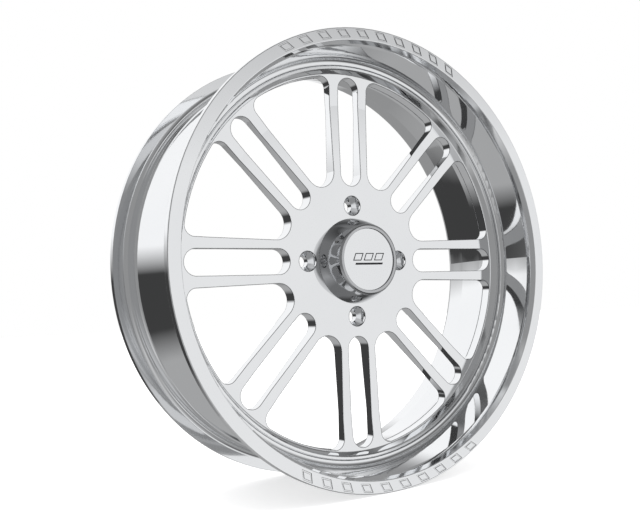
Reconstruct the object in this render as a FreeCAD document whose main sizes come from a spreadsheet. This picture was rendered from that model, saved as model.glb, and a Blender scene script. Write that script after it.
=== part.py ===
import FreeCAD, Part
import math
import os
import Sketcher

# Forged two-piece wheel rim: a milled centre seated and welded in a rim barrel,
# with a push-in centre cap and a clamp-in tyre valve.
# Frame: wheel axis along Y, outboard side towards -Y, +Z up, origin on the axis in
# the plane of the hub mounting face. Lengths in millimetres, angles in degrees.

doc = FreeCAD.newDocument("forged_wheel_rim")
sheet = doc.addObject("Spreadsheet::Sheet", "dims")

DIMS = [
    # rim barrel
    ("flange_radius", 271.3), ("rim_width", 174.4), ("front_depth", 81.2),
    ("face_width", 14.9), ("flange_thick", 11.4), ("seat_radius", 254.1),
    ("seat_drop", 1.9), ("seat_run", 20.6), ("hump_height", 1.4), ("hump_run", 2.4),
    ("hump_flat", 2.0), ("well_radius", 238.9), ("well_start", 63.0), ("well_end", 84.0),
    ("rear_slope_radius", 251.0), ("rear_slope_end", 138.6), ("rear_hump_radius", 253.5),
    ("rear_face_width", 9.3), ("rear_lip_radius", 253.0), ("rear_inner_radius", 241.9),
    ("rear_inner_depth", 125.5), ("land_radius", 233.7), ("land_end", 83.0),
    ("land_start", 60.6), ("shoulder_radius", 240.9), ("shoulder_depth", 52.4),
    ("lip_end", 51.4), ("lip_foot_radius", 247.8), ("lip_foot_depth", 46.5), ("lip_foot_arc", 6.2),
    ("lip_kink_radius", 252.6), ("lip_kink_depth", 9.0), ("lip_blend", 20.0),
    ("drop_radius", 251.6), ("drop_start", 49.5), ("root_fillet", 6.5),
    ("edge_round", 1.2), ("flange_round", 4.0),
    # engraved bars on the front face of the flange
    ("mark_inner", 259.3), ("mark_outer", 268.7), ("mark_width", 13.0), ("mark_lean", 5.6),
    ("mark_depth", 0.7), ("mark_count", 10.0), ("mark_span", 54.0),
    ("mark_line", 1.5),
    # centre
    ("disc_thick", 20.0), ("spoke_back", 10.0), ("taper_out", 185.0), ("taper_in", 106.0), ("taper_in_back", 3.4), ("cap_bore", 48.0), ("pilot_radius", 55.0),
    ("pilot_depth", 10.0), ("pad_radius", 86.0), ("flat_radius", 193.0),
    ("ramp_radius", 231.8), ("ramp_rise", 2.9), ("bead_foot", 235.0), ("bead_foot_rise", 9.2),
    ("bead_in", 236.4), ("bead_out", 239.4), ("bead_rise", 10.5), ("centre_flange", 240.6),
    ("centre_edge", 233.5), ("slot_half", 15.0), ("slot_inner", 93.1), ("slot_outer", 228.3),
    ("slot_count", 8.0), ("window_nose", 118.8), ("window_nose_radius", 20.0),
    ("window_half_angle", 20.9), ("window_outer", 229.9), ("window_corner", 12.0),
    ("window_turn", 22.5),
    ("lug_circle", 68.5), ("lug_mouth", 12.2), ("lug_mouth_depth", 3.0), ("lug_hole", 7.0),
    ("lug_cone", 5.2), ("lug_count", 4.0),
    # weld
    ("weld_leg", 4.2), ("weld_height", 4.4),
    # centre cap
    ("cap_base", 52.7), ("cap_top", 43.3), ("cap_height", 29.4), ("cap_crown", 30.8),
    ("cap_crown_out", 40.6), ("cap_face_radius", 37.6), ("cap_recess", 1.5),
    ("cap_gap", 0.3), ("cap_skirt", 47.75), ("cap_skirt_len", 9.2), ("cap_wall", 4.0),
    ("cap_groove", 45.35), ("cap_groove_width", 3.2), ("cap_groove_pos", 2.2),
    ("ring_radius", 46.55), ("ring_section", 1.4), ("cap_seat", 31.0), ("plate_thick", 2.0),
    ("plate_gap", 0.05),
    # tyre valve, measured along its own axis from the outer spot face of the wall
    ("valve_angle", 136.0), ("valve_tilt", 12.0), ("valve_depth", 97.5),
    ("valve_wall", 4.3), ("valve_hole", 5.75), ("spot_radius", 10.5),
    ("stem_head", 7.6), ("stem_head_thick", 2.2), ("grommet_out", 9.4), ("grommet_thick", 2.6),
    ("stem_shank", 4.1), ("sleeve_radius", 5.65), ("inner_grommet_thick", 2.4),
    ("washer_out", 8.2), ("washer_thick", 1.0), ("nut_flats", 14.0), ("nut_height", 5.5),
    ("stem_neck", 3.85), ("stem_tip", 31.0), ("thread_len", 8.5), ("stem_bore", 2.6),
    ("stem_throat", 1.35), ("cap_shell_out", 5.1), ("cap_shell_len", 12.5),
    ("cap_shell_bore", 3.93), ("core_body_radius", 2.52), ("core_len", 9.0), ("core_bore", 1.35),
    ("pin_radius", 0.6), ("pin_proud", 0.4), ("spring_wire", 0.15), ("spring_mean", 0.98),
    ("spring_turns", 7.0), ("spring_len", 6.3),
]
for row, (alias, value) in enumerate(DIMS, start=1):
    sheet.set("A%d" % row, alias)
    sheet.set("B%d" % row, repr(float(value)))
    sheet.setAlias("B%d" % row, alias)
doc.recompute()


class Dim:
    """A length that carries both its number and its spreadsheet formula."""

    def __init__(self, value, text):
        self.v = float(value)
        self.t = text

    @staticmethod
    def of(x):
        return x if isinstance(x, Dim) else Dim(x, repr(float(x)))

    def __add__(self, o):
        o = Dim.of(o)
        return Dim(self.v + o.v, "(%s + %s)" % (self.t, o.t))

    __radd__ = __add__

    def __sub__(self, o):
        o = Dim.of(o)
        return Dim(self.v - o.v, "(%s - %s)" % (self.t, o.t))

    def __rsub__(self, o):
        return Dim.of(o) - self

    def __mul__(self, o):
        o = Dim.of(o)
        return Dim(self.v * o.v, "(%s * %s)" % (self.t, o.t))

    __rmul__ = __mul__

    def __neg__(self):
        return Dim(-self.v, "(0 - %s)" % self.t)


def D(alias):
    return Dim(sheet.get(alias), "dims.%s" % alias)


def plane(body, role):
    for feature in body.Origin.OriginFeatures:
        if feature.Role == role:
            return feature
    raise RuntimeError(role)


def new_body(label):
    body = doc.addObject("PartDesign::Body", label)
    body.Label = label
    return body


def new_sketch(body, name, role, turn=None):
    sk = body.newObject("Sketcher::SketchObject", name)
    sk.AttachmentSupport = [(plane(body, role), "")]
    sk.MapMode = "FlatFace"
    if turn is not None:
        sk.AttachmentOffset = turn
    return sk


def pin(sk, geo, pos, x, y):
    """Fix a sketch point by two spreadsheet-bound distances from the origin."""
    for kind, d, axis in (("DistanceX", x, -2), ("DistanceY", y, -1)):
        d = Dim.of(d)
        if abs(d.v) < 1e-9:
            sk.addConstraint(Sketcher.Constraint("PointOnObject", geo, pos, axis))
        elif d.v > 0:
            i = sk.addConstraint(Sketcher.Constraint(kind, -1, 1, geo, pos, d.v))
            sk.setExpression("Constraints[%d]" % i, d.t)
        else:
            i = sk.addConstraint(Sketcher.Constraint(kind, geo, pos, -1, 1, -d.v))
            sk.setExpression("Constraints[%d]" % i, (-d).t)


def profile(sk, pts, arcs=None):
    """Closed loop through pts; arcs maps a segment number to (radius, side)."""
    arcs = arcs or {}
    n = len(pts)
    P = [(Dim.of(x), Dim.of(y)) for x, y in pts]
    first = []
    for i in range(n):
        a = FreeCAD.Vector(P[i][0].v, P[i][1].v, 0)
        b = FreeCAD.Vector(P[(i + 1) % n][0].v, P[(i + 1) % n][1].v, 0)
        if i in arcs:
            r, side = arcs[i]
            r = Dim.of(r)
            mid = (a + b) * 0.5
            half = (b - a).Length / 2
            nrm = FreeCAD.Vector(-(b - a).y, (b - a).x, 0)
            nrm.normalize()
            c = mid + nrm * (side * math.sqrt(max(r.v ** 2 - half ** 2, 0)))
            aa = math.atan2(a.y - c.y, a.x - c.x)
            ab = math.atan2(b.y - c.y, b.x - c.x)
            # an arc always runs counter-clockwise from its first angle to its second
            if (ab - aa) % (2 * math.pi) < math.pi:
                geo = sk.addGeometry(Part.ArcOfCircle(Part.Circle(c, FreeCAD.Vector(0, 0, 1), r.v), aa, aa + (ab - aa) % (2 * math.pi)))
                first.append((geo, 1, 2))
            else:
                geo = sk.addGeometry(Part.ArcOfCircle(Part.Circle(c, FreeCAD.Vector(0, 0, 1), r.v), ab, ab + (aa - ab) % (2 * math.pi)))
                first.append((geo, 2, 1))
            k = sk.addConstraint(Sketcher.Constraint("Radius", geo, r.v))
            sk.setExpression("Constraints[%d]" % k, r.t)
        else:
            geo = sk.addGeometry(Part.LineSegment(a, b))
            first.append((geo, 1, 2))
    for i in range(n):
        g, s, e = first[i]
        g2, s2, e2 = first[(i + 1) % n]
        sk.addConstraint(Sketcher.Constraint("Coincident", g, e, g2, s2))
    for i in range(n):
        pin(sk, first[i][0], first[i][1], *P[i])


def circle(sk, r, x=0.0, y=0.0):
    r = Dim.of(r)
    x, y = Dim.of(x), Dim.of(y)
    g = sk.addGeometry(Part.Circle(FreeCAD.Vector(x.v, y.v, 0), FreeCAD.Vector(0, 0, 1), r.v))
    k = sk.addConstraint(Sketcher.Constraint("Radius", g, r.v))
    sk.setExpression("Constraints[%d]" % k, r.t)
    pin(sk, g, 3, x, y)
    return g


def revolve(body, sk, name="Revolve"):
    rev = body.newObject("PartDesign::Revolution", name)
    rev.Profile = (sk, [""])
    rev.ReferenceAxis = (sk, ["V_Axis"])
    rev.Angle = 360.0
    doc.recompute()
    return rev


def groove(body, sk, name="Groove", axis="V_Axis"):
    before = body.Shape.Volume
    g = body.newObject("PartDesign::Groove", name)
    g.Profile = (sk, [""])
    g.ReferenceAxis = (sk, [axis])
    g.Angle = 360.0
    doc.recompute()
    if not body.Shape.Volume < before - 1e-6:
        raise RuntimeError("groove cut nothing: " + name)
    return g


def pocket_through(body, sk, name="Pocket"):
    before = body.Shape.Volume
    p = body.newObject("PartDesign::Pocket", name)
    p.Profile = (sk, [""])
    p.Type = "ThroughAll"
    p.Midplane = True
    doc.recompute()
    if not body.Shape.Volume < before - 1e-6:
        raise RuntimeError("pocket cut nothing: " + name)
    return p


def pattern(body, feature, count, name="Pattern", angle=None):
    before = body.Shape.Volume
    pp = body.newObject("PartDesign::PolarPattern", name)
    pp.Originals = [feature]
    pp.Axis = (plane(body, "Y_Axis"), [""])
    pp.setExpression("Occurrences", count.t)
    if angle is None:
        pp.Angle = 360.0
    else:
        pp.setExpression("Angle", angle.t)
    body.Tip = pp
    doc.recompute()
    if not body.Shape.Volume < before - 1e-6:
        raise RuntimeError("pattern cut nothing: " + name)
    return pp


def ring_edges(shape, wanted):
    """Names of the full circular edges about the wheel axis at given radius and y."""
    out = []
    for r, y in wanted:
        hit = None
        for i, e in enumerate(shape.Edges, start=1):
            c = e.Curve
            if isinstance(c, Part.Circle) and abs(c.Radius - r) < 0.02 and abs(c.Center.y - y) < 0.02 and abs(c.Center.x) < 0.01 and abs(c.Center.z) < 0.01:
                hit = "Edge%d" % i
                out.append(hit)
                break
        if hit is None:
            raise RuntimeError("no edge at %s" % ((r, y),))
    return out


def fillet(body, base, wanted, radius, name):
    f = body.newObject("PartDesign::Fillet", name)
    f.Base = (base, ring_edges(base.Shape, wanted))
    f.setExpression("Radius", Dim.of(radius).t)
    doc.recompute()
    return f


# ---------------------------------------------------------------- rim barrel
front = -D("front_depth")


def yd(x):
    """Axial position measured back from the front flange face."""
    return front + Dim.of(x)


rw = D("rim_width")
barrel = new_body("rim_barrel")
sk = new_sketch(barrel, "barrel_section", "XY_Plane")
FR = D("flange_radius")
seat = D("seat_radius")
ft = D("flange_thick")
seat_low = seat - D("seat_drop")
s1 = ft + D("seat_run")
h1 = s1 + D("hump_run")
h2 = h1 + D("hump_flat")
h3 = h2 + D("hump_run")
hump = seat_low + D("hump_height")
rear_seat = rw - ft
r1 = rear_seat - D("seat_run") + 2.6
r2 = r1 - D("hump_run")
r3 = r2 - D("hump_flat")
barrel_pts = [
    (FR - D("face_width"), yd(0)), (FR, yd(0)), (FR, yd(ft)), (seat, yd(ft)),
    (seat_low, yd(s1)), (hump, yd(h1)), (hump, yd(h2)), (seat_low - 0.2, yd(h3)),
    (D("drop_radius"), yd(D("drop_start"))), (D("well_radius"), yd(D("well_start"))), (D("well_radius"), yd(D("well_end"))),
    (D("rear_slope_radius"), yd(D("rear_slope_end"))), (D("rear_hump_radius"), yd(r3)),
    (D("rear_hump_radius"), yd(r2)), (seat_low + 0.2, yd(r1)), (seat, yd(rear_seat)),
    (FR, yd(rear_seat)), (FR, yd(rw)), (FR - D("rear_face_width"), yd(rw)),
    (D("rear_lip_radius"), yd(rear_seat)), (D("rear_inner_radius"), yd(D("rear_inner_depth"))),
    (D("land_radius"), yd(D("land_end"))), (D("land_radius"), yd(D("land_start"))),
    (D("shoulder_radius"), yd(D("shoulder_depth"))), (D("shoulder_radius"), yd(D("lip_end"))),
    (D("lip_foot_radius"), yd(D("lip_foot_depth"))), (D("lip_kink_radius"), yd(D("lip_kink_depth"))),
]
profile(sk, barrel_pts, {24: (D("lip_foot_arc"), -1)})
rev = revolve(barrel, sk, "barrel_revolve")
at = lambda i: (barrel_pts[i][0].v, barrel_pts[i][1].v)
f1 = fillet(barrel, rev, [at(3), at(15)], D("root_fillet"), "root_fillets")
f2 = fillet(barrel, f1, [at(2), at(17)], D("flange_round"), "flange_rounds")
f3 = fillet(barrel, f2, [at(1), at(0)], D("edge_round"), "front_edges")
f4 = fillet(barrel, f3, [at(9), at(10)], 12.0, "well_fillets")
f5a = fillet(barrel, f4, [at(26)], D("lip_blend"), "lip_blend_fillet")
f5 = fillet(barrel, f5a, [at(18)], 3.0, "rear_lip_edge")
f6 = fillet(barrel, f5, [at(19), at(20)], 9.0, "inner_blends")
f7 = fillet(barrel, f6, [at(8), at(11)], 2.5, "hump_feet")

# valve hole with a flat spot face on both sides of the wall, about the valve's own axis
va = D("valve_angle").v
tilt = D("valve_tilt")
slope = (D("rear_slope_radius").v - D("well_radius").v) / (D("rear_slope_end").v - D("well_end").v)
wall_r = D("well_radius").v + slope * (D("valve_depth").v - D("well_end").v) - 0.6
wall_y = D("valve_depth").v - D("front_depth").v
turned = FreeCAD.Placement(FreeCAD.Vector(0, 0, 0), FreeCAD.Rotation(FreeCAD.Vector(0, 1, 0), -va))
tilted = FreeCAD.Placement(FreeCAD.Vector(wall_r, wall_y, 0), FreeCAD.Rotation(FreeCAD.Vector(0, 0, 1), 90.0 - tilt.v))
# local y of this sketch runs inwards along the valve axis, local x across it
sk = new_sketch(barrel, "valve_hole_section", "XY_Plane", turned.multiply(tilted))
vh, sp, vw = D("valve_hole"), D("spot_radius"), D("valve_wall")
profile(sk, [(0, -6), (sp, -6), (sp, 0), (vh, 0), (vh, vw), (sp, vw), (sp, vw + 6), (0, vw + 6)])
g = groove(barrel, sk, "valve_hole")

# two arcs of engraved slanted bars on the front face
mi, mo, mw, ml, mk = D("mark_inner"), D("mark_outer"), D("mark_width"), D("mark_lean"), D("mark_line")


def bar_sketch(name, start):
    s = new_sketch(barrel, name, "XZ_Plane", FreeCAD.Placement(FreeCAD.Vector(0, 0, front.v * -1.0 + 1.0), FreeCAD.Rotation(FreeCAD.Vector(0, 0, 1), start)))
    s.setExpression("AttachmentOffset.Base.z", "dims.front_depth + 1")
    profile(s, [(mi, -(mw + ml) * 0.5), (mi, (mw - ml) * 0.5), (mo, (mw + ml) * 0.5), (mo, -(mw - ml) * 0.5)])
    profile(s, [(mi + mk, -(mw + ml) * 0.5 + mk * 1.6), (mi + mk, (mw - ml) * 0.5 - mk * 0.7), (mo - mk, (mw + ml) * 0.5 - mk * 1.6), (mo - mk, -(mw - ml) * 0.5 + mk * 0.7)])
    before = barrel.Shape.Volume
    p = barrel.newObject("PartDesign::Pocket", name + "_cut")
    p.Profile = (s, [""])
    p.Type = "Length"
    p.setExpression("Length", "dims.mark_depth + 1")
    doc.recompute()
    if not barrel.Shape.Volume < before - 1e-6:
        p.Reversed = True
        doc.recompute()
    if not barrel.Shape.Volume < before - 1e-6:
        raise RuntimeError("bars cut nothing")
    return p


b1 = bar_sketch("upper_bars", 118.0)
pattern(barrel, b1, D("mark_count"), "upper_bar_pattern", D("mark_span"))
b2 = bar_sketch("lower_bars", 297.0)
pattern(barrel, b2, D("mark_count"), "lower_bar_pattern", D("mark_span"))

# ---------------------------------------------------------------- wheel centre
centre = new_body("wheel_centre")
sk = new_sketch(centre, "centre_section", "XY_Plane")
face = -D("disc_thick")
back = -D("spoke_back")
cb, pr = D("cap_bore"), D("pilot_radius")
cone = (D("centre_flange") - D("centre_edge"))
centre_pts = [
    (cb, face), (D("flat_radius"), face), (D("ramp_radius"), face - D("ramp_rise")),
    (D("bead_foot"), face - D("bead_foot_rise")), (D("bead_in"), face - D("bead_rise")),
    (D("bead_out"), face - D("bead_rise")), (D("centre_flange"), face - D("bead_rise") + 1.2),
    (D("centre_flange"), yd(D("shoulder_depth")) + 0.1), (D("centre_edge"), yd(D("land_start")) + 0.1 - 0.35),
    (D("centre_edge"), back), (D("taper_out"), back), (D("taper_in"), -D("taper_in_back")),
    (D("pad_radius") + 2.0, -2.0), (D("pad_radius"), 0),
    (pr, 0), (pr, -D("pilot_depth")), (cb, -D("pilot_depth")),
]
profile(sk, centre_pts)
rev = revolve(centre, sk, "centre_revolve")
cat = lambda i: (centre_pts[i][0].v, centre_pts[i][1].v)
f1 = fillet(centre, rev, [cat(2)], 1.2, "ramp_blend")

# radial slot with round ends
sk = new_sketch(centre, "slot_outline", "XZ_Plane")
sh, si, so = D("slot_half"), D("slot_inner"), D("slot_outer")
a, b = si + sh, so - sh
l1 = sk.addGeometry(Part.LineSegment(FreeCAD.Vector(a.v, -sh.v, 0), FreeCAD.Vector(b.v, -sh.v, 0)))
a1 = sk.addGeometry(Part.ArcOfCircle(Part.Circle(FreeCAD.Vector(b.v, 0, 0), FreeCAD.Vector(0, 0, 1), sh.v), -math.pi / 2, math.pi / 2))
l2 = sk.addGeometry(Part.LineSegment(FreeCAD.Vector(b.v, sh.v, 0), FreeCAD.Vector(a.v, sh.v, 0)))
a2 = sk.addGeometry(Part.ArcOfCircle(Part.Circle(FreeCAD.Vector(a.v, 0, 0), FreeCAD.Vector(0, 0, 1), sh.v), math.pi / 2, 3 * math.pi / 2))
for g1, p1, g2, p2 in ((l1, 2, a1, 1), (a1, 2, l2, 1), (l2, 2, a2, 1), (a2, 2, l1, 1)):
    sk.addConstraint(Sketcher.Constraint("Tangent", g1, p1, g2, p2))
pin(sk, a1, 3, b, 0)
pin(sk, a2, 3, a, 0)
k = sk.addConstraint(Sketcher.Constraint("Radius", a1, sh.v))
sk.setExpression("Constraints[%d]" % k, sh.t)
p = pocket_through(centre, sk, "slot")
pattern(centre, p, D("slot_count"), "slot_pattern")

# large window between two slots: straight flanks, round nose, arc outer end
turn = FreeCAD.Placement(FreeCAD.Vector(0, 0, 0), FreeCAD.Rotation(FreeCAD.Vector(0, 0, 1), D("window_turn").v))
sk = new_sketch(centre, "window_outline", "XZ_Plane", turn)
wn, wr, wo, wc = D("window_nose").v, D("window_nose_radius").v, D("window_outer").v, D("window_corner").v
ha = math.radians(D("window_half_angle").v)
u = FreeCAD.Vector(math.cos(ha), math.sin(ha), 0)
nv = FreeCAD.Vector(-math.sin(ha), math.cos(ha), 0)
nose = FreeCAD.Vector(wn, 0, 0)
t0 = nose + nv * wr
# corner centre: wc inside the flank, and wo - wc from the wheel axis
base = nose + nv * (wr - wc)
bb = base.dot(u)
cc = base.dot(base) - (wo - wc) ** 2
tlen = -bb + math.sqrt(bb * bb - cc)
ck = base + u * tlen
t1 = ck + nv * wc
ko = FreeCAD.Vector(ck).normalize() * wo
zup = FreeCAD.Vector(0, 0, 1)
m = lambda p: FreeCAD.Vector(p.x, -p.y, 0)
ang = lambda p, c: math.atan2(p.y - c.y, p.x - c.x)
gl1 = sk.addGeometry(Part.LineSegment(m(t0), m(t1)))
gc1 = sk.addGeometry(Part.ArcOfCircle(Part.Circle(m(ck), zup, wc), ang(m(t1), m(ck)), ang(m(ko), m(ck))))
go = sk.addGeometry(Part.ArcOfCircle(Part.Circle(FreeCAD.Vector(0, 0, 0), zup, wo), ang(m(ko), FreeCAD.Vector(0, 0, 0)), ang(ko, FreeCAD.Vector(0, 0, 0))))
gc2 = sk.addGeometry(Part.ArcOfCircle(Part.Circle(ck, zup, wc), ang(ko, ck), ang(t1, ck)))
gl2 = sk.addGeometry(Part.LineSegment(t1, t0))
gn = sk.addGeometry(Part.ArcOfCircle(Part.Circle(nose, zup, wr), ang(t0, nose), 2 * math.pi - ang(t0, nose)))
for g1, p1, g2, p2 in ((gl1, 2, gc1, 1), (gc1, 2, go, 1), (go, 2, gc2, 1), (gc2, 2, gl2, 1), (gl2, 2, gn, 1), (gn, 2, gl1, 1)):
    sk.addConstraint(Sketcher.Constraint("Tangent", g1, p1, g2, p2))
sk.addConstraint(Sketcher.Constraint("Coincident", go, 3, -1, 1))
pin(sk, gn, 3, D("window_nose"), 0)
for geo, alias in ((gn, "window_nose_radius"), (go, "window_outer"), (gc1, "window_corner"), (gc2, "window_corner")):
    k = sk.addConstraint(Sketcher.Constraint("Radius", geo, D(alias).v))
    sk.setExpression("Constraints[%d]" % k, D(alias).t)
k = sk.addConstraint(Sketcher.Constraint("Angle", gl1, 1, gl2, 2, 2 * ha))
sk.setExpression("Constraints[%d]" % k, "dims.window_half_angle * 2")
p = pocket_through(centre, sk, "window")
pattern(centre, p, D("slot_count"), "window_pattern")

# wheel nut holes: straight mouth, 60 degree seat, through hole, on the bolt circle
sk = new_sketch(centre, "nut_hole_section", "XY_Plane")
lc, lm, lh, ld = D("lug_circle"), D("lug_mouth"), D("lug_hole"), D("lug_mouth_depth")
top = face - 1.0
cone_end = face + ld + (lm - lh) * 1.732
profile(sk, [(lc, top), (lc + lm, top), (lc + lm, face + ld), (lc + lh, cone_end), (lc + lh, 1.0), (lc, 1.0)])
ax = sk.addGeometry(Part.LineSegment(FreeCAD.Vector(lc.v, -40, 0), FreeCAD.Vector(lc.v, 20, 0)), True)
pin(sk, ax, 1, lc, -40)
pin(sk, ax, 2, lc, 20)
g = groove(centre, sk, "nut_hole", "Axis0")
pattern(centre, g, D("lug_count"), "nut_hole_pattern")

# ---------------------------------------------------------------- weld between centre and barrel
weld = new_body("rear_weld_bead")
sk = new_sketch(weld, "weld_section", "XY_Plane")
wl, wh = D("weld_leg"), D("weld_height")
lr = D("land_radius") - 0.02
profile(sk, [(lr - wl, back + 0.02), (lr, back + 0.02), (lr, back + wh)], {2: (8.0, -1)})
revolve(weld, sk, "weld_revolve")

# ---------------------------------------------------------------- centre cap
cap = new_body("centre_cap_shell")
sk = new_sketch(cap, "cap_section", "XY_Plane")
gap = D("cap_gap")
cw = D("cap_wall")
skr = D("cap_skirt")
sl = D("cap_skirt_len")
floor = face - D("cap_crown") + D("cap_recess") + D("plate_thick")
profile(sk, [
    (0, floor), (D("cap_face_radius"), floor), (D("cap_face_radius"), face - D("cap_crown")),
    (D("cap_crown_out"), face - D("cap_crown")), (D("cap_top"), face - D("cap_height") + 0.6),
    (D("cap_base"), face - gap), (skr, face - gap), (skr, face + sl - 0.8), (skr - 0.8, face + sl),
    (skr - cw - 2.4, face + sl), (skr - cw - 2.4, face - 3.0), (D("cap_top") - cw - 1.5, floor + 6.0),
    (D("cap_top") - cw - 4.5, floor + 3.0), (0, floor + 3.0),
], {3: (6.0, 1), 4: (160.0, 1)})
revolve(cap, sk, "cap_revolve")
cg, cgw, cgp = D("cap_groove"), D("cap_groove_width"), D("cap_groove_pos")
sk = new_sketch(cap, "ring_groove_section", "XY_Plane")
profile(sk, [(cg, face + cgp - cgw * 0.5), (skr + 1.0, face + cgp - cgw * 0.5), (skr + 1.0, face + cgp + cgw * 0.5), (cg, face + cgp + cgw * 0.5)])
groove(cap, sk, "ring_groove_front")
sk = new_sketch(cap, "ring_groove_section_b", "XY_Plane")
gp2 = cgp + 4.4
profile(sk, [(cg, face + gp2 - cgw * 0.5), (skr + 1.0, face + gp2 - cgw * 0.5), (skr + 1.0, face + gp2 + cgw * 0.5), (cg, face + gp2 + cgw * 0.5)])
groove(cap, sk, "ring_groove_rear")

plate = new_body("centre_cap_face_plate")
sk = new_sketch(plate, "plate_section", "XY_Plane")
pg = D("plate_gap")
profile(sk, [(0, floor - pg), (D("cap_face_radius") - pg * 3, floor - pg), (D("cap_face_radius") - pg * 3, floor - D("plate_thick") + 0.3),
             (D("cap_face_radius") - pg * 3 - 0.3, floor - D("plate_thick")), (0, floor - D("plate_thick"))])
revolve(plate, sk, "plate_revolve")
# three engraved outlined slanted bars across the plate, with a thin strip below
before = plate.Shape.Volume
sk = new_sketch(plate, "bar_outlines", "XZ_Plane", FreeCAD.Placement(FreeCAD.Vector(0, 0, 60.0), FreeCAD.Rotation()))
sk.setExpression("AttachmentOffset.Base.z", "dims.disc_thick + dims.cap_crown + 2")
for cx, w in ((-15.5, 12.0), (0.0, 12.0), (15.5, 12.0)):
    for d, sx in ((0.0, 1.0), (1.0, 1.0)):
        x0, x1 = cx - w / 2 + d * 1.3, cx + w / 2 - d * 1.3
        z0, z1 = -1.5 + d, 7.5 - d
        lean0, lean1 = -2.0 + d * 0.5, 2.0 - d * 0.5
        profile(sk, [(x0 + lean0, z0), (x1 + lean0, z0), (x1 + lean1, z1), (x0 + lean1, z1)])
profile(sk, [(-20.5, -6.5), (20.0, -6.5), (21.0, -4.2), (-19.5, -4.2)])
pc = plate.newObject("PartDesign::Pocket", "bar_cuts")
pc.Profile = (sk, [""])
pc.Type = "Length"
pc.setExpression("Length", "dims.cap_recess + 2.3")
doc.recompute()
if not plate.Shape.Volume < before - 1e-6:
    raise RuntimeError("plate bars cut nothing")

# two rubber rings that hold the cap in its bore
rings = []
for pos in (cgp, gp2):
    t = doc.addObject("Part::Torus", "cap_ring")
    t.setExpression("Radius1", D("ring_radius").t)
    t.setExpression("Radius2", D("ring_section").t + " - 0.22")
    t.Placement = FreeCAD.Placement(FreeCAD.Vector(0, (face + pos).v, 0), FreeCAD.Rotation(FreeCAD.Vector(1, 0, 0), 90))
    rings.append(t)
ring_group = doc.addObject("Part::Compound", "centre_cap_o_rings")
ring_group.Label = "centre_cap_o_rings"
ring_group.Links = rings

# ---------------------------------------------------------------- tyre valve
# Every valve piece is turned about its own local Z, which runs inwards through the
# wall towards the wheel axis; local origin on the outer spot face of the wall.
valve_at = turned.multiply(tilted).multiply(FreeCAD.Placement(FreeCAD.Vector(0, 0, 0), FreeCAD.Rotation(FreeCAD.Vector(1, 0, 0), -90)))
valve_nodes = []


def turned_piece(label, pts, arcs=None):
    body = new_body(label)
    s = new_sketch(body, label + "_section", "XZ_Plane")
    profile(s, pts, arcs)
    revolve(body, s, label + "_revolve")
    valve_nodes.append(body)
    return body


gt, igt = D("grommet_thick"), D("inner_grommet_thick")
hd, ht = D("stem_head"), D("stem_head_thick")
ss, sl_r = D("stem_shank"), D("sleeve_radius")
wt, wo_ = D("washer_thick"), D("washer_out")
nh = D("nut_height")
nk, tip, tl = D("stem_neck"), D("stem_tip"), D("thread_len")
sb, th = D("stem_bore"), D("stem_throat")
z_w = vw
z_ig = z_w + igt
z_ws = z_ig + wt
z_nt = z_ws + nh
stem = turned_piece("valve_stem_body", [
    (th, -gt - ht), (hd - 0.8, -gt - ht), (hd, -gt - ht + 0.8), (hd, -gt), (ss, -gt), (ss, z_nt + 1.5),
    (nk, z_nt + 2.2), (nk, tip - 0.6), (nk - 0.6, tip), (sb, tip), (sb, tip - D("core_len") - 2.4),
    (th, tip - D("core_len") - 3.6)])
out_gr = turned_piece("valve_outer_grommet", [
    (ss + 0.02, -gt + 0.02), (D("grommet_out") - 0.6, -gt + 0.02), (D("grommet_out"), -gt + 0.8), (D("grommet_out"), -0.02),
    (sl_r, -0.02), (sl_r, vw * 0.5 - 0.1), (ss + 0.02, vw * 0.5 - 0.1)])
in_gr = turned_piece("valve_inner_grommet", [
    (ss + 0.02, vw * 0.5), (sl_r, vw * 0.5), (sl_r, vw + 0.02), (D("grommet_out"), vw + 0.02), (D("grommet_out"), z_ig - 0.5),
    (D("grommet_out") - 0.5, z_ig - 0.02), (ss + 0.02, z_ig - 0.02)])
washer = turned_piece("valve_washer", [(ss + 0.1, z_ig), (wo_, z_ig), (wo_, z_ws - 0.02), (ss + 0.1, z_ws - 0.02)])

nut = new_body("valve_nut")
s = new_sketch(nut, "nut_hexagon", "XY_Plane")
rr = D("nut_flats").v / math.sqrt(3)
hx = [FreeCAD.Vector(rr * math.cos(math.radians(60 * i)), rr * math.sin(math.radians(60 * i)), 0) for i in range(6)]
ids = [s.addGeometry(Part.LineSegment(hx[i], hx[(i + 1) % 6])) for i in range(6)]
for i in range(6):
    s.addConstraint(Sketcher.Constraint("Coincident", ids[i], 2, ids[(i + 1) % 6], 1))
gcir = s.addGeometry(Part.Circle(FreeCAD.Vector(0, 0, 0), zup, rr), True)
s.addConstraint(Sketcher.Constraint("Coincident", gcir, 3, -1, 1))
for i in range(6):
    s.addConstraint(Sketcher.Constraint("PointOnObject", ids[i], 1, gcir))
for i in range(1, 6):
    s.addConstraint(Sketcher.Constraint("Equal", ids[0], ids[i]))
s.addConstraint(Sketcher.Constraint("PointOnObject", ids[0], 1, -1))
k = s.addConstraint(Sketcher.Constraint("Radius", gcir, rr))
s.setExpression("Constraints[%d]" % k, "dims.nut_flats / sqrt(3)")
circle(s, ss + 0.02)
pad = nut.newObject("PartDesign::Pad", "nut_pad")
pad.Profile = (s, [""])
pad.setExpression("Length", "dims.nut_height - 0.02")
s.AttachmentOffset = FreeCAD.Placement(FreeCAD.Vector(0, 0, z_ws.v), FreeCAD.Rotation())
s.setExpression("AttachmentOffset.Base.z", z_ws.t)
doc.recompute()
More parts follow.
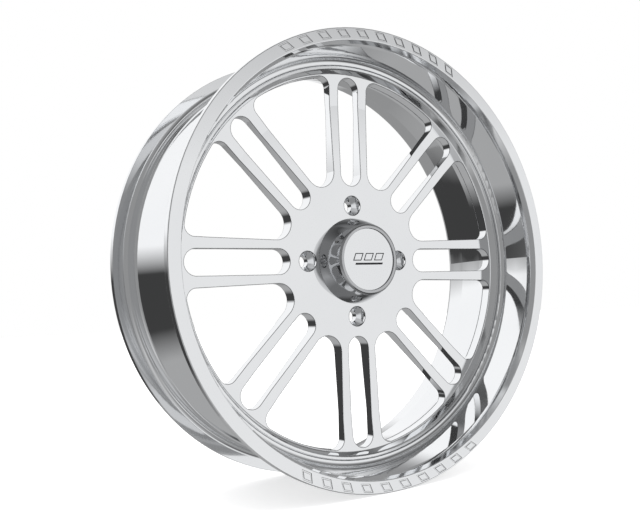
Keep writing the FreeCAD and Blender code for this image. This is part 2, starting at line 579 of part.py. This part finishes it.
# turned corners: the six corners are chamfered by a cone on both ends
s = new_sketch(nut, "nut_crown_section", "XZ_Plane")
cr = D("nut_flats") * 0.5
profile(s, [(cr, z_nt + 0.1), (cr + 3.0, z_nt + 0.1), (cr + 3.0, z_nt - 1.6)])
groove(nut, s, "nut_crown")
s = new_sketch(nut, "nut_foot_section", "XZ_Plane")
profile(s, [(cr, z_ws - 0.1), (cr + 3.0, z_ws + 1.6), (cr + 3.0, z_ws - 0.1)])
groove(nut, s, "nut_foot")
valve_nodes.append(nut)

cl = D("core_len")
cbr, cbo = D("core_body_radius"), D("core_bore")
zc0 = tip - cl
# the valve core: a threaded head above a plain barrel, a pin with its cup and seal
head_low = tip - 3.6
core_barrel = turned_piece("valve_core_barrel", [
    (0.78, zc0), (1.95, zc0), (1.95, head_low - 0.02), (cbo, head_low - 0.02), (cbo, zc0 + 0.3), (0.78, zc0 + 0.3)])
core_head = turned_piece("valve_core_head", [
    (cbo, head_low), (cbr - 0.3, head_low), (cbr, head_low + 0.3), (cbr, tip - 1.5), (cbr - 0.3, tip - 1.2), (cbo, tip - 1.2)])
core_gasket = turned_piece("valve_core_gasket", [
    (1.97, zc0 + 1.4), (2.4, zc0 + 1.2), (2.58, zc0 + 2.2), (2.4, zc0 + 3.2), (1.97, zc0 + 3.0)])
pr_ = D("pin_radius")
pin_len_low = zc0 - 1.9
core_pin = turned_piece("valve_core_pin", [
    (0, pin_len_low), (1.0, pin_len_low), (1.0, pin_len_low + 0.4), (pr_, pin_len_low + 0.4), (pr_, tip - 1.9),
    (1.15, tip - 1.9), (1.15, tip - 1.1), (pr_, tip - 0.7), (pr_, tip + D("pin_proud")), (0, tip + D("pin_proud"))])
core_cup = turned_piece("valve_core_cup", [
    (pr_ + 0.03, pin_len_low + 0.43), (1.28, pin_len_low + 0.43), (1.45, zc0 - 0.85), (pr_ + 0.03, zc0 - 0.85)])
core_seal = turned_piece("valve_core_seat_seal", [
    (pr_ + 0.03, zc0 - 0.83), (1.5, zc0 - 0.83), (1.85, zc0 - 0.5), (1.85, zc0 - 0.05), (pr_ + 0.03, zc0 - 0.05)])

# closing spring of the valve core, between the core body and the collar of the pin
spring = doc.addObject("Part::Feature", "valve_core_spring")
spring.Label = "valve_core_spring"
sp_len = D("spring_len").v
sp_low = zc0.v + 0.35 + 0.17
mean, wire = D("spring_mean").v, D("spring_wire").v
helix = Part.makeHelix(sp_len / D("spring_turns").v, sp_len, mean)
sec = Part.Wire([Part.makeCircle(wire, FreeCAD.Vector(mean, 0, 0), FreeCAD.Vector(0, 1, 0.15))])
coil = Part.Wire(helix.Edges).makePipeShell([sec], True, True)
spring.Shape = coil
valve_nodes.append(spring)

# knurled valve cap with a soft seal inside its end
vc = D("cap_shell_out")
vcl = D("cap_shell_len")
vcb = D("cap_shell_bore")
z_c0 = tip - tl + 0.5
z_c1 = z_c0 + vcl
vcap = turned_piece("valve_cap_shell", [
    (vcb, z_c0), (vc - 0.4, z_c0), (vc, z_c0 + 0.4), (vc, z_c1 - 1.0), (vc - 1.0, z_c1), (0, z_c1),
    (0, z_c1 - 1.2), (vcb, z_c1 - 1.2)])
s = new_sketch(vcap, "knurl_notch", "XY_Plane")
profile(s, [(vc - 0.35, 0), (vc + 0.5, -0.55), (vc + 0.5, 0.55)])
s.AttachmentOffset = FreeCAD.Placement(FreeCAD.Vector(0, 0, z_c0.v + 1.2), FreeCAD.Rotation())
s.setExpression("AttachmentOffset.Base.z", (z_c0 + 1.2).t)
before = vcap.Shape.Volume
kp = vcap.newObject("PartDesign::Pocket", "knurl_cut")
kp.Profile = (s, [""])
kp.Type = "Length"
kp.setExpression("Length", (vcl - 3.4).t)
kp.Reversed = True
doc.recompute()
if not vcap.Shape.Volume < before - 1e-6:
    raise RuntimeError("knurl cut nothing")
pp = vcap.newObject("PartDesign::PolarPattern", "knurl_pattern")
pp.Originals = [kp]
pp.Axis = (plane(vcap, "Z_Axis"), [""])
pp.Angle = 360.0
pp.Occurrences = 24
vcap.Tip = pp
doc.recompute()
vseal = turned_piece("valve_cap_seal", [
    (1.3, z_c1 - 2.6), (vcb - 0.05, z_c1 - 2.6), (vcb - 0.05, z_c1 - 1.22), (1.3, z_c1 - 1.22)])

doc.recompute()
for node in valve_nodes:
    if node is spring:
        spring.Placement = valve_at.multiply(FreeCAD.Placement(FreeCAD.Vector(0, 0, sp_low), FreeCAD.Rotation()))
    else:
        node.Placement = valve_at
doc.recompute()

# ---------------------------------------------------------------- checks and export
nodes = [centre, barrel, weld, cap, plate, ring_group] + valve_nodes
for obj in doc.Objects:
    if "Invalid" in obj.State or "Error" in obj.State:
        raise RuntimeError("failed feature: %s %s" % (obj.Name, obj.State))
for node in nodes:
    if node.Shape.isNull() or not node.Shape.isValid() or not node.Shape.Solids:
        raise RuntimeError("bad shape: " + node.Label)
os.makedirs("parts", exist_ok=True)
for node in nodes:
    node.Shape.exportStep("parts/%s.step" % node.Label)
    bb = node.Shape.BoundBox
    print("%-26s solids %d  vol %12.2f  x %.1f..%.1f y %.1f..%.1f z %.1f..%.1f" % (
        node.Label, len(node.Shape.Solids), node.Shape.Volume, bb.XMin, bb.XMax, bb.YMin, bb.YMax, bb.ZMin, bb.ZMax))
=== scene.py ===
import math
import bpy
from mathutils import Matrix, Vector


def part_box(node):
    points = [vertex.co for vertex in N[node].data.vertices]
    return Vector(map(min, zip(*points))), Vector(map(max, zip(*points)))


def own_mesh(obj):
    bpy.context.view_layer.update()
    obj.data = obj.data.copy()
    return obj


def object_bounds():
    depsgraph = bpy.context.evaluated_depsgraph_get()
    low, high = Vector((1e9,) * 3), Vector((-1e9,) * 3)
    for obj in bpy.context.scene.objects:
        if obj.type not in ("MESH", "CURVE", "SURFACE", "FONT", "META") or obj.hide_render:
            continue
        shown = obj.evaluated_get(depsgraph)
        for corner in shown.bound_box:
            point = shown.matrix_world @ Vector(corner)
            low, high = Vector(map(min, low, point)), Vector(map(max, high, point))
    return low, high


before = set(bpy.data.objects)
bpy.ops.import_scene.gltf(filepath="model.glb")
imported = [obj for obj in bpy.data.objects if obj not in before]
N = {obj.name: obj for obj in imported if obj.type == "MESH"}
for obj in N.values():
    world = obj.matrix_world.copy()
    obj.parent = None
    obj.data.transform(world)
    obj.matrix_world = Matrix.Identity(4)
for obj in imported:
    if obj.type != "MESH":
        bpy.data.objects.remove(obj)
cad_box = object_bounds()

# Key places on the wheel, in metres (axis along Y, front towards -Y).
FLANGE_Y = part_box("rim_barrel")[0][1]
REAR_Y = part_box("rim_barrel")[1][1]
FACE_Y = -0.020
RIM_R = 0.2713
PLATE_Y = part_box("centre_cap_face_plate")[0][1]


# ------------------------------------------------------------------ node helpers
class Tree:
    def __init__(self, mat):
        mat.use_nodes = True
        self.t = mat.node_tree
        self.t.nodes.clear()
        self.n = self.t.nodes
        self.l = self.t.links

    def new(self, kind, **props):
        node = self.n.new(kind)
        for k, v in props.items():
            setattr(node, k, v)
        return node

    def put(self, socket, value):
        if isinstance(value, bpy.types.NodeSocket):
            self.l.new(value, socket)
        else:
            socket.default_value = value

    def math(self, op, a, b=None, c=None, clamp=False):
        node = self.new("ShaderNodeMath", operation=op, use_clamp=clamp)
        self.put(node.inputs[0], a)
        if b is not None:
            self.put(node.inputs[1], b)
        if c is not None:
            self.put(node.inputs[2], c)
        return node.outputs[0]

    def ramp(self, fac, lo, hi, out_lo=0.0, out_hi=1.0, smooth=True):
        node = self.new("ShaderNodeMapRange", interpolation_type="SMOOTHSTEP" if smooth else "LINEAR", clamp=True)
        self.put(node.inputs[0], fac)
        for i, v in enumerate((lo, hi, out_lo, out_hi), start=1):
            node.inputs[i].default_value = v
        return node.outputs[0]

    def mix(self, fac, a, b):
        node = self.new("ShaderNodeMix", data_type="RGBA")
        self.put(node.inputs[0], fac)
        for s, v in ((node.inputs[6], a), (node.inputs[7], b)):
            if isinstance(v, bpy.types.NodeSocket):
                self.l.new(v, s)
            else:
                s.default_value = (*v, 1.0)
        return node.outputs[2]

    def coords(self):
        tc = self.new("ShaderNodeTexCoord")
        sep = self.new("ShaderNodeSeparateXYZ")
        self.l.new(tc.outputs["Object"], sep.inputs[0])
        return tc.outputs["Object"], sep.outputs[0], sep.outputs[1], sep.outputs[2]

    def noise(self, vec, scale, detail=3.0, rough=0.5):
        node = self.new("ShaderNodeTexNoise")
        self.l.new(vec, node.inputs["Vector"])
        node.inputs["Scale"].default_value = scale
        node.inputs["Detail"].default_value = detail
        node.inputs["Roughness"].default_value = rough
        return node.outputs["Fac"]

    def combine(self, x, y, z):
        node = self.new("ShaderNodeCombineXYZ")
        for s, v in zip(node.inputs, (x, y, z)):
            self.put(s, v)
        return node.outputs[0]

    def bump(self, height, strength, distance, normal=None):
        node = self.new("ShaderNodeBump")
        node.inputs["Strength"].default_value = strength
        node.inputs["Distance"].default_value = distance
        self.l.new(height, node.inputs["Height"])
        if normal is not None:
            self.l.new(normal, node.inputs["Normal"])
        return node.outputs[0]

    def bevel(self, radius, samples=4):
        node = self.new("ShaderNodeBevel", samples=samples)
        node.inputs["Radius"].default_value = radius
        return node.outputs[0]

    def shader(self, color, rough, normal=None, metallic=1.0, aniso=0.0, tangent=None, spec=None, coat=None):
        p = self.new("ShaderNodeBsdfPrincipled")
        out = self.new("ShaderNodeOutputMaterial")
        if isinstance(color, bpy.types.NodeSocket):
            self.l.new(color, p.inputs["Base Color"])
        else:
            p.inputs["Base Color"].default_value = (*color, 1.0)
        self.put(p.inputs["Roughness"], rough)
        p.inputs["Metallic"].default_value = metallic
        if aniso:
            p.inputs["Anisotropic"].default_value = aniso
        if tangent is not None:
            self.l.new(tangent, p.inputs["Tangent"])
        if spec is not None:
            p.inputs["Specular IOR Level"].default_value = spec
        if normal is not None:
            self.l.new(normal, p.inputs["Normal"])
        self.l.new(p.outputs[0], out.inputs[0])
        return p


def polar(t, x, z):
    """Radius from the wheel axis and angle about it."""
    r = t.math("SQRT", t.math("ADD", t.math("MULTIPLY", x, x), t.math("MULTIPLY", z, z)))
    a = t.math("ARCTAN2", z, x)
    return r, a


def assign(names, mat):
    for name in names:
        o = N[name]
        if len(o.material_slots) == 0:
            o.data.materials.append(mat)
        for s in o.material_slots:
            s.material = mat


def lathe_marks(t, r, a, pitch, seed):
    """Fine concentric tool marks: a noise that varies along the radius and hardly around it."""
    v = t.combine(t.math("MULTIPLY", r, 1.0 / pitch), t.math("MULTIPLY", a, 0.35), seed)
    return t.noise(v, 1.0, 2.0, 0.6)


def painted_edge_reflection(t, radius, amount):
    """1 on a narrow band along sharp edges, where the broken edge mirrors the dark side of the room; this band is
    painted near black into the colour: a painted reflection.
    """
    wide = t.bevel(radius, 8)
    geo = t.new("ShaderNodeNewGeometry")
    dot = t.new("ShaderNodeVectorMath", operation="DOT_PRODUCT")
    t.l.new(wide, dot.inputs[0])
    t.l.new(geo.outputs["Normal"], dot.inputs[1])
    return t.ramp(dot.outputs["Value"], 0.86, 0.985, amount, 0.0)


def polished(name, tone_a, tone_b, rough, seed, pitch=0.0007, mark=0.06, use="r", edge=0.0006, dark=None, edge_reflection=0.0, edge_reflection_radius=0.0014):
    mat = bpy.data.materials.new(name)
    t = Tree(mat)
    obj, x, y, z = t.coords()
    r, a = polar(t, x, z)
    along = r if use == "r" else y
    marks = lathe_marks(t, along, a, pitch, seed)
    cloud = t.noise(obj, 9.0, 3.0)
    smear = t.noise(t.combine(t.math("MULTIPLY", r, 40.0), t.math("MULTIPLY", a, 5.0), t.math("MULTIPLY", y, 40.0)), 1.0, 4.0, 0.6)
    fine = t.noise(obj, 420.0, 2.0)
    color = t.mix(t.ramp(cloud, 0.3, 0.7), tone_a, tone_b)
    rg = t.math("ADD", t.ramp(smear, 0.25, 0.8, rough * 0.75, rough * 1.45), t.ramp(fine, 0.3, 0.7, 0.0, rough * 0.2))
    if dark is not None:
        mask = dark(t, x, y, z, r, a)
        color = t.mix(mask, color, (0.045, 0.045, 0.048))
        rg = t.math("ADD", rg, t.math("MULTIPLY", mask, 0.35))
    # painted reflection: a narrow band along sharp edges is turned near black in the colour, standing for the dark
    # room the edges mirror
    if edge_reflection:
        color = t.mix(painted_edge_reflection(t, edge_reflection_radius, edge_reflection), color, (0.045, 0.045, 0.048))
    base = t.bevel(edge)
    nrm = t.bump(marks, mark, 0.00002, base)
    t.shader(color, rg, nrm)
    return mat


def front_marks(t, x, y, z, r, a):
    """The floor of the engraved bars on the flange: just behind the flange face."""
    deep = t.math("GREATER_THAN", y, FLANGE_Y + 0.0003)
    shallow = t.math("LESS_THAN", y, FLANGE_Y + 0.0007)
    inside = t.math("LESS_THAN", r, 0.2680)
    outside = t.math("GREATER_THAN", r, 0.2590)
    return t.math("MULTIPLY", t.math("MULTIPLY", deep, shallow), t.math("MULTIPLY", inside, outside))


def plate_marks(t, x, y, z, r, a):
    deep = t.math("GREATER_THAN", y, PLATE_Y + 0.00012)
    return t.math("MULTIPLY", deep, t.math("LESS_THAN", r, 0.030))


ALU_A, ALU_B = (0.905, 0.912, 0.920), (0.885, 0.893, 0.903)
# the centre and the barrel get a painted reflection along their sharp edges, darker on the centre
assign(["wheel_centre"], polished("polished_centre", ALU_A, ALU_B, 0.035, 1.7, edge_reflection=1.0, edge_reflection_radius=0.0021))
assign(["rim_barrel"], polished("polished_barrel", ALU_A, ALU_B, 0.045, 4.1, use="y", dark=front_marks, edge_reflection=0.5, edge_reflection_radius=0.001))
# painted shade: the cap shell's grey is kept far darker than the polished alloy to stand for the darker reflection
# its side shows
assign(["centre_cap_shell"], polished("polished_cap", (0.56, 0.565, 0.575), (0.50, 0.505, 0.515), 0.05, 7.3, use="y"))
assign(["centre_cap_face_plate"], polished("polished_plate", ALU_A, ALU_B, 0.06, 9.9, dark=plate_marks, edge=0.0002))


def weld_material():
    mat = bpy.data.materials.new("weld_bead")
    t = Tree(mat)
    obj, x, y, z = t.coords()
    r, a = polar(t, x, z)
    wave = t.math("SINE", t.math("ADD", t.math("MULTIPLY", a, 420.0), t.math("MULTIPLY", t.noise(obj, 60.0), 6.0)))
    cloud = t.noise(obj, 55.0, 4.0)
    color = t.mix(t.ramp(cloud, 0.3, 0.7), (0.72, 0.72, 0.73), (0.52, 0.52, 0.53))
    t.shader(color, t.ramp(cloud, 0.2, 0.8, 0.28, 0.5), t.bump(wave, 0.6, 0.0003))
    return mat


def rubber(name, seed):
    mat = bpy.data.materials.new(name)
    t = Tree(mat)
    obj, x, y, z = t.coords()
    cloud = t.noise(obj, 260.0, 4.0)
    grain = t.noise(obj, 2600.0, 2.0)
    color = t.mix(t.ramp(cloud, 0.35, 0.7), (0.016, 0.016, 0.017), (0.035, 0.034, 0.033))
    t.shader(color, t.ramp(cloud, 0.3, 0.8, 0.5, 0.72), t.bump(grain, 0.3, 0.00006), metallic=0.0, spec=0.4)
    return mat


def turned_metal(name, tone_a, tone_b, rough, scale=700.0):
    mat = bpy.data.materials.new(name)
    t = Tree(mat)
    obj, x, y, z = t.coords()
    cloud = t.noise(obj, scale * 0.25, 3.0)
    fine = t.noise(obj, scale * 4.0, 2.0)
    color = t.mix(t.ramp(cloud, 0.3, 0.7), tone_a, tone_b)
    t.shader(color, t.ramp(cloud, 0.25, 0.8, rough * 0.8, rough * 1.5), t.bump(fine, 0.12, 0.00003, t.bevel(0.00025)))
    return mat


assign(["rear_weld_bead"], weld_material())
assign(["centre_cap_o_rings", "valve_outer_grommet", "valve_inner_grommet"], rubber("moulded_rubber", 2.0))
assign(["valve_core_gasket", "valve_core_seat_seal", "valve_cap_seal"], rubber("seal_rubber", 5.0))
assign(["valve_stem_body", "valve_washer", "valve_nut"], turned_metal("nickelled_brass", (0.70, 0.68, 0.64), (0.60, 0.585, 0.55), 0.18))
assign(["valve_core_barrel", "valve_core_head", "valve_core_pin", "valve_core_cup"], turned_metal("bare_brass", (0.80, 0.60, 0.26), (0.66, 0.47, 0.18), 0.24))
assign(["valve_core_spring"], turned_metal("spring_wire", (0.52, 0.52, 0.53), (0.38, 0.38, 0.39), 0.25))
assign(["valve_cap_shell"], turned_metal("valve_cap_metal", (0.82, 0.82, 0.83), (0.72, 0.72, 0.73), 0.2))

# ------------------------------------------------------------------ room
floor_z = cad_box[0][2]
bpy.ops.mesh.primitive_plane_add(size=14.0, location=(0, 0, floor_z - 0.0002))
floor = bpy.context.object
floor.name = "studio_floor"
fm = bpy.data.materials.new("floor_paper")
t = Tree(fm)
obj, x, y, z = t.coords()
tone = t.mix(t.ramp(t.noise(obj, 1.4, 4.0), 0.3, 0.7), (0.93, 0.93, 0.93), (0.95, 0.95, 0.95))
p = t.shader(tone, 0.9, metallic=0.0, spec=0.1)
t.l.new(tone, p.inputs["Emission Color"])
p.inputs["Emission Strength"].default_value = 0.55
floor.data.materials.append(fm)
floor.visible_glossy = False

world = bpy.data.worlds.new("studio")
bpy.context.scene.world = world
world.use_nodes = True
wt = world.node_tree
wt.nodes.clear()
w = Tree.__new__(Tree)
w.t, w.n, w.l = wt, wt.nodes, wt.links
tc = w.new("ShaderNodeTexCoord")
sep = w.new("ShaderNodeSeparateXYZ")
w.l.new(tc.outputs["Generated"], sep.inputs[0])
dx, dy, dz = sep.outputs[0], sep.outputs[1], sep.outputs[2]
# direction as compass bearing (0 = straight ahead of the wheel's face, + towards +X) and height
DEG = 180.0 / math.pi
bearing = w.math("MULTIPLY", w.math("ARCTAN2", dx, w.math("MULTIPLY", dy, -1.0)), DEG)
height = w.math("MULTIPLY", w.math("ARCSINE", dz), 1.0 / math.pi)
height = w.math("ADD", height, 0.5)


def tone_by_height(stops):
    """Grey tone against height in degrees, from straight down to straight up."""
    node = w.new("ShaderNodeValToRGB")
    node.color_ramp.interpolation = "LINEAR"
    e = node.color_ramp.elements
    while len(e) > 1:
        e.remove(e[-1])
    for i, (deg, v) in enumerate(stops):
        item = e[0] if i == 0 else e.new((deg + 90.0) / 180.0)
        item.position = (deg + 90.0) / 180.0
        item.color = (v * 0.995, v, v * 1.008, 1)
    w.l.new(height, node.inputs[0])
    return node.outputs[0]


# plain studio: grey floor and walls, one big soft box in front, dark gaps beside it, a white sweep behind
FLOOR, WALL, GAP, BOX, WHITE = 0.4, 0.3, 0.1, 0.85, 1.0
behind = tone_by_height([(-90, FLOOR), (-30, FLOOR), (-20, 0.05), (0, 0.05), (10, WHITE), (90, WHITE)])
behind_right = tone_by_height([(-90, FLOOR), (-30, FLOOR), (-20, WALL), (0, WALL), (10, WHITE), (90, WHITE)])
left_wall = tone_by_height([(-90, 0.7), (-60, 0.7), (-40, WALL), (40, WALL), (60, 0.7), (90, 0.7)])
front_wall = tone_by_height([(-90, WALL), (-50, WALL), (-30, 0.6), (-10, WALL), (40, WALL), (60, GAP), (70, FLOOR), (90, FLOOR)])
key_box = tone_by_height([(-90, WALL), (-60, WALL), (-50, GAP), (-40, GAP), (-20, BOX), (10, BOX), (30, WALL), (50, GAP), (60, WALL), (90, WALL)])
right_wall = tone_by_height([(-90, FLOOR), (-40, FLOOR), (-20, WALL), (50, WALL), (60, 0.7), (90, 0.7)])
col = w.mix(w.ramp(bearing, -70.0, -60.0, 1.0, 0.0), front_wall, left_wall)
col = w.mix(w.ramp(bearing, 0.0, 10.0), col, key_box)
col = w.mix(w.ramp(bearing, 75.0, 85.0), col, right_wall)
col = w.mix(w.ramp(bearing, -120.0, -110.0, 1.0, 0.0), col, behind)
col = w.mix(w.ramp(bearing, 140.0, 150.0), col, behind_right)
lp = w.new("ShaderNodeLightPath")
col = w.mix(lp.outputs["Is Camera Ray"], col, (1.0, 1.0, 1.0))
col = w.mix(lp.outputs["Is Diffuse Ray"], col, (0.9, 0.9, 0.9))
bg = w.new("ShaderNodeBackground")
out = w.new("ShaderNodeOutputWorld")
w.l.new(col, bg.inputs[0])
bg.inputs[1].default_value = 1.0
w.l.new(bg.outputs[0], out.inputs[0])

key = bpy.data.lights.new("overhead", "AREA")
key.shape = "DISK"
key.size = 2.4
key.energy = 26.0
key_o = bpy.data.objects.new("overhead", key)
bpy.context.collection.objects.link(key_o)
key_o.location = (-0.4, -0.6, 2.4)
key_o.rotation_euler = (Vector((0, 0, 0)) - key_o.location).to_track_quat("-Z", "Y").to_euler()
key_o.visible_glossy = False

# ------------------------------------------------------------------ camera
yaw, tilt, roll = math.radians(-33.42), math.radians(-2.84), math.radians(-2.45)
dist, foc, off_x, off_y = 3.401, 787.5, 0.2819, 0.0223
back = Vector((math.sin(yaw) * math.cos(tilt), -math.cos(yaw) * math.cos(tilt), math.sin(tilt)))
right = Vector((math.cos(yaw), math.sin(yaw), 0.0))
up = back.cross(right)
r2 = right * math.cos(roll) + up * math.sin(roll)
u2 = up * math.cos(roll) - right * math.sin(roll)
eye = (back * dist - r2 * off_x - u2 * off_y) * RIM_R + Vector((0, FLANGE_Y, 0))
cam = bpy.data.cameras.new("photo_view")
cam.sensor_width = 36.0
cam.sensor_fit = "HORIZONTAL"
cam.lens = foc * 36.0 / 640.0
cam.clip_start = 0.02
cam_o = bpy.data.objects.new("photo_view", cam)
bpy.context.collection.objects.link(cam_o)
m = Matrix((r2, u2, back)).transposed().to_4x4()
m.translation = eye
cam_o.matrix_world = m
scene = bpy.context.scene
scene.camera = cam_o
scene.view_settings.view_transform = "Standard"
scene.view_settings.look = "None"

# the closing spring (in the valve it shortens by the pin's travel, its far end on the barrel) gets a mesh of its own
spring = N["valve_core_spring"]
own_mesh(spring)
